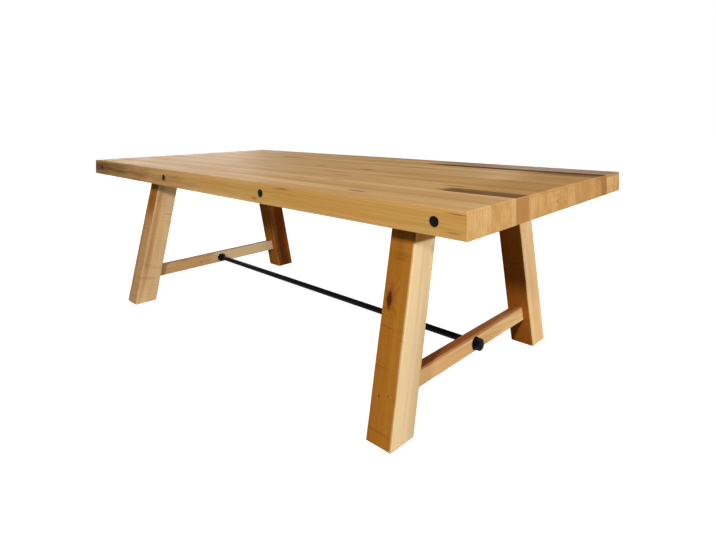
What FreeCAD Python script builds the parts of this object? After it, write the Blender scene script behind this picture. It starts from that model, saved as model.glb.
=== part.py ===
"""Dining table: a slab of boards on edge, clamped by long bolts, on two splayed trestles tied by a steel rod.

Millimetres. +X runs along the length, +Y to the back and +Z up. The origin is on the floor, under the middle
of the top. Every length that can be set by itself is in SIZES, and all else is worked out from these.
"""
import FreeCAD, Part
import math
import os

import Sketcher

# Driving sizes

SIZES = {
    # the whole table
    "table_length": 2440.0,
    "table_width": 1170.0,
    "table_height": 750.0,
    "top_thickness": 76.0,
    "edge_arris": 1.5,
    # the long bolts that clamp the boards of the top, and the sleeve nuts on their ends
    "clamp_bolt_diameter": 16.0,
    "clamp_bolt_inset": 98.0,
    "clamp_bolt_tip_gap": 4.0,
    "clamp_head_diameter": 28.6,
    "clamp_head_rim": 1.0,
    "clamp_head_height": 3.0,
    "sleeve_diameter": 22.0,
    "sleeve_length": 30.0,
    # the legs
    "leg_width": 100.0,
    "leg_depth": 108.0,
    "leg_splay": 12.0,
    "leg_end_overhang": 296.0,
    "foot_setback": 57.0,
    "leg_arris": 2.0,
    # the lower cross rail of each trestle
    "stretcher_height": 58.0,
    "stretcher_width": 37.0,
    "stretcher_middle": 142.0,
    "stretcher_tenon_height": 38.0,
    "stretcher_tenon_width": 16.0,
    "stretcher_tenon_length": 60.0,
    # the upper cross rail of each trestle, against the underside of the top
    "bearer_height": 60.0,
    "bearer_width": 62.0,
    "bearer_tenon_height": 34.0,
    "bearer_tenon_width": 24.0,
    "bearer_tenon_length": 55.0,
    # the coach screws that hold the top down to the bearers
    "screw_diameter": 10.0,
    "screw_bite": 45.0,
    "screw_end_gap": 5.0,
    "screw_end_distance": 77.0,
    "screw_head_flats": 17.0,
    "screw_head_height": 7.0,
    "screw_washer_diameter": 30.0,
    "screw_washer_thickness": 2.5,
    # the long rod between the trestles
    "tie_rod_diameter": 25.0,
    "tie_washer_diameter": 48.0,
    "tie_washer_thickness": 4.0,
    "tie_nut_flats": 38.0,
    "tie_nut_thickness": 21.0,
    "tie_nut_chamfer": 2.5,
    "cap_hex_height": 21.0,
    "cap_total_height": 26.0,
    "cap_bore_depth": 17.0,
    "cap_tip_gap": 2.0,
    # clearances
    "joint_clearance": 0.3,
    "tenon_end_gap": 2.0,
    "thread_clearance": 0.1,
    "clamp_bolt_clearance": 1.0,
    "screw_clearance": 0.7,
    "screw_slot_travel": 8.0,
    "cut_overrun": 5.0,
}

# The boards of the top, from the front edge to the back edge, as parts of the table's width

STAVE_SHARES = (60, 55, 50, 90, 79, 73, 53, 55, 50, 60, 66, 80, 59, 60, 62, 61, 77, 80)
CLAMP_BOLT_COUNT = 4
SCREWS_PER_BEARER = 3
SIDES = {"left": -1, "right": 1}
ENDS = {"front": -1, "back": 1}
TOLERANCE = 1e-6
ACROSS = FreeCAD.Vector(0, 1, 0)

# Places worked out from the sizes

HALF_LENGTH = "(sizes.table_length / 2)"
HALF_WIDTH = "(sizes.table_width / 2)"
UNDERSIDE = "(sizes.table_height - sizes.top_thickness)"
HALF_TOP = "(sizes.top_thickness / 2)"
CLAMP_LEVEL = f"({UNDERSIDE} + {HALF_TOP})"
FIRST_CLAMP = f"({HALF_LENGTH} - sizes.clamp_bolt_inset)"
CLAMP_SPAN = f"(2 * {FIRST_CLAMP})"
CLAMP_HOLE = "(sizes.clamp_bolt_diameter + 2 * sizes.clamp_bolt_clearance)"
SLEEVE_HOLE = "(sizes.sleeve_diameter + 2 * sizes.joint_clearance)"
SLEEVE_DEPTH = "(sizes.sleeve_length + sizes.joint_clearance)"
PILOT_HOLE = "(sizes.screw_diameter + 2 * sizes.thread_clearance)"
TRESTLE = f"({HALF_LENGTH} - sizes.leg_end_overhang - sizes.leg_width / 2)"
FOOT = f"({HALF_WIDTH} - sizes.foot_setback)"
LEAN = "tan(sizes.leg_splay * 1 deg)"
LEG_RUN = "(sizes.leg_depth / cos(sizes.leg_splay * 1 deg))"
BEARER_MIDDLE = f"({UNDERSIDE} - sizes.bearer_height / 2)"
BEARER_UNDERSIDE = f"({UNDERSIDE} - sizes.bearer_height)"
TIE_SEAT = f"({TRESTLE} + sizes.stretcher_width / 2)"
TIE_CAP_SEAT = f"({TIE_SEAT} + sizes.tie_washer_thickness)"
TIE_REACH = f"({TIE_CAP_SEAT} + sizes.cap_bore_depth - sizes.cap_tip_gap)"

doc = FreeCAD.newDocument("dining_table")
sheet = doc.addObject("Spreadsheet::Sheet", "sizes")
for row, (alias, size) in enumerate(SIZES.items(), start=1):
    sheet.set(f"A{row}", alias)
    sheet.set(f"B{row}", str(size))
    sheet.setAlias(f"B{row}", alias)
doc.recompute()

nodes = []
cuts = []


def value(expression):
    """The length or number that an expression of the sheet's sizes gives."""
    return float(FreeCAD.Units.Quantity(str(sheet.evalExpression(expression))).Value)


def inner_face(level):
    """How far a leg's inner face stands from the table's middle plane, at a height."""
    return f"({FOOT} - {LEG_RUN} - ({level}) * {LEAN})"


LAST_SCREW = f"({inner_face(BEARER_UNDERSIDE)} - sizes.screw_end_distance)"
SCREW_SPAN = f"(2 * {LAST_SCREW})"


# Bodies, sketches and features


def new_body(label, x="0", y="0", z="0", turned=False):
    """An empty body with its place bound to the sizes; turned swings it half round, front to back."""
    body = doc.addObject("PartDesign::Body", label)
    body.Label = label
    body.AllowCompound = True
    body.Placement = FreeCAD.Placement(FreeCAD.Vector(), FreeCAD.Rotation(180 if turned else 0, 0, 0))
    for axis, place in zip("xyz", (x, y, z)):
        body.setExpression(f"Placement.Base.{axis}", place)
    nodes.append(body)
    return body


def origin_part(body, role):
    """One of the body's own planes or axes."""
    return next(part for part in body.Origin.OriginFeatures if part.Role == role)


def new_sketch(body, plane, **offset):
    """A sketch on one of the body's planes, moved within it by x and y and off it by z."""
    sketch = body.newObject("Sketcher::SketchObject", f"{body.Name}_sketch")
    sketch.AttachmentSupport = [(origin_part(body, plane), "")]
    sketch.MapMode = "FlatFace"
    for axis, distance in offset.items():
        sketch.setExpression(f"AttachmentOffset.Base.{axis}", distance)
    return sketch


def pin(sketch, kind, piece, point, place):
    """Holds a point of the sketch at a distance from its origin, or on its axis where that is zero."""
    distance = value(place)
    if distance == 0:
        axis = -2 if kind == "DistanceX" else -1
        sketch.addConstraint(Sketcher.Constraint("PointOnObject", piece, point, axis))
        return
    ends = (-1, 1, piece, point) if distance > 0 else (piece, point, -1, 1)
    index = sketch.addConstraint(Sketcher.Constraint(kind, *ends, abs(distance)))
    sketch.setExpression(f"Constraints[{index}]", place if distance > 0 else f"-({place})")


def add_outline(sketch, corners, dome=None):
    """A closed outline through corners, given as pairs of expressions. The edge that dome numbers is an arc
    centred on the sketch's H axis."""
    points = [FreeCAD.Vector(value(across), value(up), 0) for across, up in corners]
    ends = []
    for index, (start, end) in enumerate(zip(points, points[1:] + points[:1])):
        edge = dome_arc(start, end) if index == dome else Part.LineSegment(start, end)
        piece = sketch.addGeometry(edge)
        forward = sketch.getPoint(piece, 1).distanceToPoint(start) < TOLERANCE
        ends.append((piece, 1, 2) if forward else (piece, 2, 1))
    for (piece, _, last), (following, first, _) in zip(ends, ends[1:] + ends[:1]):
        sketch.addConstraint(Sketcher.Constraint("Coincident", piece, last, following, first))
    for (piece, first, _), (across, up) in zip(ends, corners):
        pin(sketch, "DistanceX", piece, first, across)
        pin(sketch, "DistanceY", piece, first, up)
    if dome is not None:
        sketch.addConstraint(Sketcher.Constraint("PointOnObject", ends[dome][0], 3, -1))


def dome_arc(start, end):
    """The arc from start to end whose centre lies on the sketch's H axis."""
    centre = FreeCAD.Vector((end.Length**2 - start.Length**2) / (2 * (end.x - start.x)), 0, 0)
    outward = (start + end) / 2 - centre
    outward.normalize()
    return Part.Arc(start, centre + outward * start.distanceToPoint(centre), end)


def add_box(sketch, left, bottom, right, top):
    """A rectangle between four expressions."""
    add_outline(sketch, [(left, bottom), (right, bottom), (right, top), (left, top)])


def add_circle(sketch, diameter, across="0", up="0"):
    """A circle round a point given by two expressions."""
    middle = FreeCAD.Vector(value(across), value(up), 0)
    piece = sketch.addGeometry(Part.Circle(middle, FreeCAD.Vector(0, 0, 1), value(diameter) / 2))
    pin(sketch, "DistanceX", piece, 3, across)
    pin(sketch, "DistanceY", piece, 3, up)
    index = sketch.addConstraint(Sketcher.Constraint("Diameter", piece, value(diameter)))
    sketch.setExpression(f"Constraints[{index}]", diameter)


def add_slot(sketch, width, travel, up):
    """A round-ended slot along the sketch's V axis, round a point of that axis."""
    radius = value(width) / 2
    middles = [f"({up} {sign} {travel} / 2)" for sign in "+-"]
    arcs = []
    for middle, start in zip(middles, (0, math.pi)):
        ring = Part.Circle(FreeCAD.Vector(0, value(middle), 0), FreeCAD.Vector(0, 0, 1), radius)
        arcs.append(sketch.addGeometry(Part.ArcOfCircle(ring, start, start + math.pi)))
    for first, second in (arcs, arcs[::-1]):
        line = Part.LineSegment(sketch.getPoint(first, 2), sketch.getPoint(second, 1))
        piece = sketch.addGeometry(line)
        sketch.addConstraint(Sketcher.Constraint("Tangent", first, 2, piece, 1))
        sketch.addConstraint(Sketcher.Constraint("Tangent", piece, 2, second, 1))
    for arc, middle in zip(arcs, middles):
        pin(sketch, "DistanceX", arc, 3, "0")
        pin(sketch, "DistanceY", arc, 3, middle)
        index = sketch.addConstraint(Sketcher.Constraint("Diameter", arc, 2 * radius))
        sketch.setExpression(f"Constraints[{index}]", width)


def add_hexagon(sketch, flats, across="0", up="0"):
    """A regular hexagon round a point, with two sides square to the sketch's V axis."""
    corner = f"{flats} / sqrt(3)"
    low, high = f"({up} - {flats} / 2)", f"({up} + {flats} / 2)"
    left, right = f"({across} - {corner} / 2)", f"({across} + {corner} / 2)"
    ends = (f"({across} - {corner})", up), (f"({across} + {corner})", up)
    add_outline(sketch, [ends[0], (left, low), (right, low), ends[1], (right, high), (left, high)])


def add_feature(body, kind, sketch):
    """A feature on a sketch, made the body's tip."""
    feature = body.newObject(f"PartDesign::{kind}", f"{body.Name}_{kind.lower()}")
    feature.Profile = sketch
    body.Tip = feature
    return feature


def pad(body, sketch, length, symmetric=True, reverse=False):
    """Pads a sketch, to both sides of its plane unless told otherwise."""
    feature = add_feature(body, "Pad", sketch)
    feature.SideType = "Symmetric" if symmetric else "One side"
    feature.Reversed = reverse
    feature.setExpression("Length", length)
    return feature


def pocket(body, sketch, length, symmetric=True, reverse=False):
    """Cuts a sketch into the body; reverse cuts the way the sketch's normal points."""
    before = body.Tip
    feature = add_feature(body, "Pocket", sketch)
    feature.SideType = "Symmetric" if symmetric else "One side"
    feature.Reversed = reverse
    feature.setExpression("Length", length)
    cuts.append((before, feature))
    return feature


def revolve(body, sketch, axis):
    """Turns a sketch round its own H or V axis."""
    feature = add_feature(body, "Revolution", sketch)
    feature.ReferenceAxis = (sketch, [f"{axis}_Axis"])
    return feature


def chamfer(body, size, chosen):
    """Chamfers the edges that chosen picks, in the body's own frame."""
    doc.recompute()
    before = body.Tip
    names = [f"Edge{i}" for i, edge in enumerate(before.Shape.Edges, start=1) if chosen(edge)]
    feature = body.newObject("PartDesign::Chamfer", f"{body.Name}_chamfer")
    feature.Base = (before, names)
    feature.setExpression("Size", size)
    body.Tip = feature
    cuts.append((before, feature))


def repeat(body, features, axis, span, count):
    """Repeats features in a row along one of the body's axes."""
    feature = body.newObject("PartDesign::LinearPattern", f"{body.Name}_row")
    feature.Originals = features
    feature.Direction = (origin_part(body, f"{axis}_Axis"), [""])
    feature.setExpression("Length", span)
    feature.Occurrences = count
    body.Tip = feature


def mirror(body, features, plane):
    """Repeats features on the other side of one of the body's planes."""
    feature = body.newObject("PartDesign::Mirrored", f"{body.Name}_mirror")
    feature.Originals = features
    feature.MirrorPlane = (origin_part(body, plane), [""])
    body.Tip = feature


def runs_along(edge, direction):
    """Whether a straight edge lies along a direction."""
    run = edge.Vertexes[-1].Point - edge.Vertexes[0].Point
    return run.Length > TOLERANCE and abs(run.normalize().dot(direction)) > 1 - TOLERANCE


# The top: boards on edge, clamped by long bolts


def stave_places():
    """Each board's width and the place of its middle, as expressions."""
    total = sum(STAVE_SHARES)
    start = 0
    for share in STAVE_SHARES:
        width = f"(sizes.table_width * {share} / {total})"
        yield width, f"(sizes.table_width * {start + share / 2} / {total} - {HALF_WIDTH})"
        start += share


def spread(reach, count):
    """Evenly spaced places from -reach to reach."""
    gaps = count - 1
    return [f"({reach} * {2 * index - gaps} / {gaps})" for index in range(count)]


def clamp_outlines(body, add, size, **offset):
    """A sketch with a circle or a hexagon at each clamping bolt, along the board's long side."""
    sketch = new_sketch(body, "XZ_Plane", **offset)
    for place in spread(FIRST_CLAMP, CLAMP_BOLT_COUNT):
        add(sketch, size, place, HALF_TOP)
    return sketch


def make_stave(number, width, middle):
    """One board of the top, with the passages of the clamping bolts and the pilot holes of the screws, which are
    hidden and drawn six-sided. The last board also takes the sleeves of the nuts. The first and last have eased
    outer edges."""
    body = new_body(f"stave_{number:02d}", y=middle, z=UNDERSIDE)
    side = new_sketch(body, "XZ_Plane")
    add_box(side, f"-{HALF_LENGTH}", "0", HALF_LENGTH, "sizes.top_thickness")
    pad(body, side, width)

    outward = {1: -1, len(STAVE_SHARES): 1}.get(number, 0)
    outer = outward * value(width) / 2

    def eased(edge):
        return runs_along(edge, ACROSS) or (outward and abs(edge.CenterOfMass.y - outer) < TOLERANCE)

    chamfer(body, "sizes.edge_arris", eased)

    passages = clamp_outlines(body, add_hexagon, CLAMP_HOLE)
    pocket(body, passages, f"({width} + sizes.cut_overrun)")
    if outward > 0:
        sleeves = clamp_outlines(body, add_circle, SLEEVE_HOLE, z=f"(-{width} / 2)")
        pocket(body, sleeves, SLEEVE_DEPTH, symmetric=False, reverse=True)

    reach = value(f"({width} + {PILOT_HOLE}) / 2")
    places = [f"({place} - {middle})" for place in spread(LAST_SCREW, SCREWS_PER_BEARER)]
    met = [place for place in places if abs(value(place)) < reach]
    if met:
        pilots = new_sketch(body, "XY_Plane")
        for place in met:
            for side in SIDES.values():
                add_hexagon(pilots, PILOT_HOLE, f"({side} * {TRESTLE})", place)
        pocket(body, pilots, "(sizes.screw_bite + sizes.screw_end_gap)", symmetric=False, reverse=True)


def clamp_head():
    """The outline of a low domed head against the wood, from its rim to the middle of its top."""
    return [
        ("sizes.clamp_head_rim", "(sizes.clamp_head_diameter / 2)"),
        ("sizes.clamp_head_height", "0"),
    ]


def make_clamp_bolts():
    """The long bolts through all the boards, with their heads on the front edge."""
    body = new_body("clamp_bolts", z=CLAMP_LEVEL, turned=True)
    section = new_sketch(body, "YZ_Plane", x=HALF_WIDTH, z=f"-{FIRST_CLAMP}")
    tip = "(sizes.clamp_bolt_tip_gap - sizes.table_width)"
    shank = "(sizes.clamp_bolt_diameter / 2)"
    neck = [(tip, "0"), (tip, shank), ("0", shank), ("0", "(sizes.clamp_head_diameter / 2)")]
    add_outline(section, clamp_head() + neck, dome=0)
    bolt = revolve(body, section, "H")
    repeat(body, [bolt], "X", CLAMP_SPAN, CLAMP_BOLT_COUNT)


def make_clamp_nuts():
    """Sleeve nuts on the back edge: the same low head, and a tapped sleeve that draws the bolt."""
    body = new_body("clamp_nuts", z=CLAMP_LEVEL)
    section = new_sketch(body, "YZ_Plane", x=HALF_WIDTH, z=f"-{FIRST_CLAMP}")
    bore = "(sizes.clamp_bolt_diameter / 2 + sizes.thread_clearance)"
    sleeve = "(sizes.sleeve_diameter / 2)"
    end = "-sizes.sleeve_length"
    neck = [("0", "0"), ("0", bore), (end, bore), (end, sleeve), ("0", sleeve)]
    add_outline(section, clamp_head() + neck + [("0", "(sizes.clamp_head_diameter / 2)")], dome=0)
    nut = revolve(body, section, "H")
    repeat(body, [nut], "X", CLAMP_SPAN, CLAMP_BOLT_COUNT)


# The trestles


def make_leg(label, side, turned):
    """A leaning square post, cut level at foot and head, with two blind mortises in its inner face."""
    turn = 1 if turned else -1
    body = new_body(label, x=f"({side} * {TRESTLE})", y=f"({turn} * {FOOT})", turned=turned)
    lean = f"({UNDERSIDE} * {LEAN})"
    profile = new_sketch(body, "YZ_Plane")
    add_outline(
        profile, [("0", "0"), (LEG_RUN, "0"), (f"({LEG_RUN} + {lean})", UNDERSIDE), (lean, UNDERSIDE)]
    )
    pad(body, profile, "sizes.leg_width")
    along = FreeCAD.Vector(0, value(LEAN), 1).normalize()
    chamfer(body, "sizes.leg_arris", lambda edge: runs_along(edge, along) or edge.CenterOfMass.z < TOLERANCE)
    for rail, middle in (("stretcher", "sizes.stretcher_middle"), ("bearer", BEARER_MIDDLE)):
        mortise = new_sketch(body, "YZ_Plane")
        half = f"(sizes.{rail}_tenon_height / 2 + sizes.joint_clearance)"
        inner = f"({LEG_RUN} + {middle} * {LEAN})"
        floor = f"({inner} - sizes.{rail}_tenon_length - sizes.tenon_end_gap)"
        mouth = f"({inner} + {half} * {LEAN} + sizes.cut_overrun)"
        add_box(mortise, floor, f"({middle} - {half})", mouth, f"({middle} + {half})")
        pocket(body, mortise, f"(sizes.{rail}_tenon_width + 2 * sizes.joint_clearance)")


def make_rail(label, rail, side, middle):
    """A cross rail with slanted shoulders against the legs and a stub tenon at each end."""
    body = new_body(label, x=f"({side} * {TRESTLE})")
    low, high = (f"({middle} {sign} sizes.{rail}_height / 2)" for sign in "-+")
    shoulders = new_sketch(body, "YZ_Plane")
    add_outline(
        shoulders,
        [
            (f"-{inner_face(low)}", low),
            (inner_face(low), low),
            (inner_face(high), high),
            (f"-{inner_face(high)}", high),
        ],
    )
    pad(body, shoulders, f"sizes.{rail}_width")
    chamfer(body, "sizes.edge_arris", lambda edge: runs_along(edge, ACROSS))
    tenons = new_sketch(body, "YZ_Plane")
    reach = f"({inner_face(middle)} + sizes.{rail}_tenon_length)"
    half = f"(sizes.{rail}_tenon_height / 2)"
    add_box(tenons, f"-{reach}", f"({middle} - {half})", reach, f"({middle} + {half})")
    pad(body, tenons, f"sizes.{rail}_tenon_width")
    return body


def make_stretcher(side_name, side):
    """The lower rail, with the hole for the long rod."""
    body = make_rail(f"stretcher_{side_name}", "stretcher", side, "sizes.stretcher_middle")
    hole = new_sketch(body, "YZ_Plane")
    add_circle(hole, "(sizes.tie_rod_diameter + 2 * sizes.joint_clearance)", "0", "sizes.stretcher_middle")
    pocket(body, hole, "(sizes.stretcher_width + sizes.cut_overrun)")


def make_bearer(side_name, side):
    """The upper rail, with a hole for its middle screw and slots for the others, so the top can swell."""
    body = make_rail(f"bearer_{side_name}", "bearer", side, BEARER_MIDDLE)
    holes = new_sketch(body, "XY_Plane", z=BEARER_MIDDLE)
    hole = "(sizes.screw_diameter + 2 * sizes.screw_clearance)"
    for place in spread(LAST_SCREW, SCREWS_PER_BEARER):
        if value(place) == 0:
            add_circle(holes, hole)
        else:
            add_slot(holes, hole, "sizes.screw_slot_travel", place)
    pocket(body, holes, "(sizes.bearer_height + sizes.cut_overrun)")


# The screws that hold the top


def make_top_screws(side_name, side):
    """Hexagon coach screws with washers, from below through the bearer into the top."""
    place = f"({side} * {TRESTLE})"
    seat = f"({BEARER_UNDERSIDE} - sizes.screw_washer_thickness)"

    screws = new_body(f"top_screws_{side_name}", x=place, z=seat)
    head_outline = new_sketch(screws, "XY_Plane", y=f"-{LAST_SCREW}")
    add_hexagon(head_outline, "sizes.screw_head_flats")
    head = pad(screws, head_outline, "sizes.screw_head_height", symmetric=False, reverse=True)
    shank_outline = new_sketch(screws, "XY_Plane", y=f"-{LAST_SCREW}")
    add_circle(shank_outline, "sizes.screw_diameter")
    length = "(sizes.screw_washer_thickness + sizes.bearer_height + sizes.screw_bite)"
    shank = pad(screws, shank_outline, length, symmetric=False)
    repeat(screws, [head, shank], "Y", SCREW_SPAN, SCREWS_PER_BEARER)

    washers = new_body(f"screw_washers_{side_name}", x=place, z=seat)
    ring = new_sketch(washers, "XY_Plane", y=f"-{LAST_SCREW}")
    add_circle(ring, "sizes.screw_washer_diameter")
    add_circle(ring, "(sizes.screw_diameter + 2 * sizes.joint_clearance)")
    washer = pad(washers, ring, "sizes.screw_washer_thickness", symmetric=False)
    repeat(washers, [washer], "Y", SCREW_SPAN, SCREWS_PER_BEARER)


# The long rod between the trestles


def make_tie_rod():
    """A plain rod through both stretchers, into the cap nuts."""
    body = new_body("tie_rod", z="sizes.stretcher_middle")
    section = new_sketch(body, "YZ_Plane")
    add_circle(section, "sizes.tie_rod_diameter")
    pad(body, section, f"(2 * {TIE_REACH})")


def make_tie_washers():
    """A flat washer on the outer face of each stretcher."""
    body = new_body("tie_rod_washers", z="sizes.stretcher_middle")
    ring = new_sketch(body, "YZ_Plane", z=TIE_SEAT)
    add_circle(ring, "sizes.tie_washer_diameter")
    add_circle(ring, "(sizes.tie_rod_diameter + 2 * sizes.joint_clearance)")
    washer = pad(body, ring, "sizes.tie_washer_thickness", symmetric=False)
    mirror(body, [washer], "YZ_Plane")


TIE_BORE = "(sizes.tie_rod_diameter + 2 * sizes.thread_clearance)"


def make_tie_cap_nuts():
    """A low domed hexagon nut on each end of the long rod: a turned blank with six flats milled on it."""
    body = new_body("tie_rod_cap_nuts", z="sizes.stretcher_middle")
    section = new_sketch(body, "XZ_Plane", x=TIE_CAP_SEAT)
    corner = "(sizes.tie_nut_flats / sqrt(3))"
    shoulder = f"({corner} - sizes.tie_nut_chamfer)"
    ease = "(sizes.tie_nut_chamfer / 2)"
    add_outline(
        section,
        [
            ("sizes.cap_hex_height", "(sizes.tie_nut_flats / 2 - sizes.tie_nut_chamfer / 2)"),
            ("sizes.cap_total_height", "0"),
            ("sizes.cap_bore_depth", "0"),
            ("sizes.cap_bore_depth", f"({TIE_BORE} / 2)"),
            ("0", f"({TIE_BORE} / 2)"),
            ("0", corner),
            (f"(sizes.cap_hex_height - {ease})", corner),
            ("sizes.cap_hex_height", shoulder),
        ],
        dome=0,
    )
    blank = revolve(body, section, "H")
    waste = new_sketch(body, "YZ_Plane", z=TIE_CAP_SEAT)
    add_circle(waste, "(2 * sizes.tie_nut_flats)")
    add_hexagon(waste, "sizes.tie_nut_flats")
    flats = pocket(body, waste, "sizes.cap_hex_height", symmetric=False, reverse=True)
    mirror(body, [blank, flats], "YZ_Plane")


def make_tie_lock_nut():
    """The hexagon nut on the inner face of the left stretcher."""
    body = new_body("tie_rod_lock_nut", z="sizes.stretcher_middle")
    outline = new_sketch(body, "YZ_Plane", z=f"(sizes.stretcher_width / 2 - {TRESTLE})")
    add_hexagon(outline, "sizes.tie_nut_flats")
    add_circle(outline, TIE_BORE)
    pad(body, outline, "sizes.tie_nut_thickness", symmetric=False)


# The whole table

for number, (width, middle) in enumerate(stave_places(), start=1):
    make_stave(number, width, middle)
make_clamp_bolts()
make_clamp_nuts()
for side_name, side in SIDES.items():
    for end, turn in ENDS.items():
        make_leg(f"leg_{end}_{side_name}", side, turned=turn > 0)
    make_stretcher(side_name, side)
    make_bearer(side_name, side)
    make_top_screws(side_name, side)
make_tie_rod()
make_tie_washers()
make_tie_cap_nuts()
make_tie_lock_nut()
doc.recompute()

# Checks, then one file for each sub-part

for part in doc.Objects:
    if {"Invalid", "Error"} & set(part.State):
        raise RuntimeError(f"{part.Label} did not build: {part.State}")
for before, cut in cuts:
    if cut.Shape.Volume >= before.Shape.Volume:
        raise RuntimeError(f"{cut.Label} cuts nothing")
for body in nodes:
    if body.Shape.isNull() or not body.Shape.isValid():
        raise RuntimeError(f"{body.Label} has no valid shape")

os.makedirs("parts", exist_ok=True)
for body in nodes:
    body.Shape.exportStep(f"parts/{body.Label}.step")
    print(f"{body.Label}: {len(body.Shape.Solids)} solid(s), {body.Shape.Volume / 1000:.1f} cm3")
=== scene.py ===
"""Looks of a long dining table: a slab of boards on edge, four leaning posts, cross rails and a steel rod.

Metres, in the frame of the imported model: +X along the length, +Y to the back and +Z up, with the origin on
the floor under the middle of the top.
"""
import math
import random
from typing import NamedTuple

import bmesh
import bpy
from mathutils import Euler, Matrix, Vector


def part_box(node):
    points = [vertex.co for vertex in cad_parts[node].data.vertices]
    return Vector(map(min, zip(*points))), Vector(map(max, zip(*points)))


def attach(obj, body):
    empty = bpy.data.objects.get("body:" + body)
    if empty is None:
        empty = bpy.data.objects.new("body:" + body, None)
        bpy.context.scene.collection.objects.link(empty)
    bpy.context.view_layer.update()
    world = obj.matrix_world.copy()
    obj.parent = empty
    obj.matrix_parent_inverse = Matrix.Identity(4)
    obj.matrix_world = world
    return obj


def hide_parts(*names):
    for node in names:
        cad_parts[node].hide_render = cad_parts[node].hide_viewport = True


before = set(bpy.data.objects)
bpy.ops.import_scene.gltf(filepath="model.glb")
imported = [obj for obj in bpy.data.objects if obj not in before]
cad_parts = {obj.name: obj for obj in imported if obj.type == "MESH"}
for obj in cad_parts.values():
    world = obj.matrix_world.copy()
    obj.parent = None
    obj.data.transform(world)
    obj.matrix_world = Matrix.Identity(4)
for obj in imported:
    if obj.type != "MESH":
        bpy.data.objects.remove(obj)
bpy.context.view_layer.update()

bl_info = {
    "name": "Trestle dining table",
    "version": (1, 0, 0),
    "blender": (4, 5, 0),
    "location": "3D View > Sidebar > Table",
    "description": "Boards, posts, rails and steel fittings of a long dining table, with worn oiled wood",
    "category": "Add Mesh",
}

MM = 0.001
BODY = "root"
SIDES = {"left": -1, "right": 1}
ENDS = {"front": -1, "back": 1}
RIGHT, BACK, UP = Vector((1, 0, 0)), Vector((0, 1, 0)), Vector((0, 0, 1))
GRAIN_ALONG_X = Euler((0, math.radians(90), 0))
GRAIN_ALONG_Y = Euler((math.radians(-90), 0, 0))
WHITE = (1.0, 1.0, 1.0, 1.0)

# The top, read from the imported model

BOARD_COUNT = 18
SLAB_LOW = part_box("stave_01")[0]
SLAB_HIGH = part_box(f"stave_{BOARD_COUNT:02d}")[1]
SLAB_MIDDLE = (SLAB_LOW + SLAB_HIGH) / 2
SLAB_HALF = (SLAB_HIGH - SLAB_LOW) / 2

# What a user may change


def paint(red, green, blue):
    """A colour given as 0 to 255 on a screen, as the linear values that shaders take."""
    def linear(part):
        share = part / 255
        return share / 12.92 if share <= 0.04045 else ((share + 0.055) / 1.055) ** 2.4
    return tuple(linear(part) for part in (red, green, blue))


def colour(name, description, default):
    """A colour setting."""
    return bpy.props.FloatVectorProperty(
        name=name, description=description, subtype="COLOR", size=3, min=0, max=1, default=default
    )


def length(name, description, default):
    """A length setting."""
    return bpy.props.FloatProperty(
        name=name, description=description, unit="LENGTH", subtype="DISTANCE", min=0, default=default
    )


class TableColours(bpy.types.PropertyGroup):
    """Colours of the wood and the fittings."""

    pale: colour("Pale boards", "Sapwood of the palest boards", paint(219, 178, 119))
    honey: colour("Honey boards", "Most of the boards", paint(215, 172, 112))
    tan: colour("Tan boards", "The duller boards", paint(209, 165, 105))
    amber: colour("Amber heart", "Heart of the boards and their warm streaks", paint(203, 153, 86))
    gold: colour("Golden stain", "Front face of the top", paint(188, 141, 66))
    brown: colour("Brown heart", "Dark strips in the top", paint(90, 52, 22))
    # The frame's two colours: pale sapwood on the right faces and heart elsewhere, partly real wood and
    # partly painted shade on the less lit faces. The heart colour also paints the shadow at the head of the
    # front right post.
    frame_pale: colour("Frame, pale", "Sapwood of the posts and rails", paint(228, 192, 138))
    frame_heart: colour("Frame, heart", "Heartwood of the posts and rails", paint(177, 116, 39))
    cream: colour("Cream streaks", "The palest wood of the frame", paint(236, 212, 168))
    # Peach is partly painted light: it was made pale enough to lighten the front left post's right face.
    peach: colour("Peach streaks", "Warm pale wood of the frame", paint(246, 206, 152))
    orange: colour("Orange streaks", "The warmest wood of the frame", paint(202, 134, 72))
    knot: colour("Knots", "Middle of the knots", paint(84, 42, 18))
    red: colour("Red streaks", "Resin streaks and the rims of knots", paint(158, 86, 40))
    # Russet darkens whole faces of the frame. On the back right post's inner face it is partly painted shade.
    russet: colour("Russet heart", "The darkest wood of the frame", paint(158, 76, 14))
    umber: colour("Umber ends", "The darker ends of some boards", paint(184, 134, 79))
    olive: colour("Olive streaks", "Dull green-brown stains", paint(132, 104, 62))
    grey: colour("Grey stains", "Greyed patches on the top", paint(140, 110, 82))
    steel: colour("Black steel", "Rod, nuts and bolt heads", paint(9, 9, 10))
    zinc: colour("Zinc", "Coach screws and their washers", paint(168, 170, 172))
    floor: colour("Floor", "Plain pale floor", paint(136, 136, 136))


class TableSizes(bpy.types.PropertyGroup):
    """Small sizes of the finish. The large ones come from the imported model."""

    slab_round: length("Slab edges", "Rounding of the outer edges of the top", 3.0 * MM)
    joint_ease: length("Joints", "Easing of the boards' edges at their joints", 0.5 * MM)
    post_round: length("Post edges", "Rounding of the edges of the posts", 3.5 * MM)
    rail_round: length("Rail edges", "Rounding of the edges of the rails", 2.0 * MM)
    dents: length("Dents", "Depth of the wear along the edges", 1.2 * MM)
    wave: length("Waviness", "Height of the slow unevenness of planed faces", 0.5 * MM)
    fit: length("Fit", "Clearance of tenons and bores", 0.3 * MM)
    metal_ease: length("Metal edges", "Easing of the edges of the steel fittings", 0.6 * MM)
    post_lean: bpy.props.FloatProperty(
        name="Post lean", description="Angle of the posts from upright", subtype="ANGLE",
        default=math.radians(12),
    )


# Work on meshes

SHARP_ANGLE = math.radians(50)
SMOOTH_ANGLE = math.radians(40)
TURNED_SIDES = 48
WAVE_GRAIN = 0.25
DENT_GRAIN = 0.03
WORN_REACH = 8 * MM


def take_up(piece):
    """Makes one piece the only selected and the active one."""
    bpy.ops.object.select_all(action="DESELECT")
    piece.select_set(True)
    bpy.context.view_layer.objects.active = piece


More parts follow.
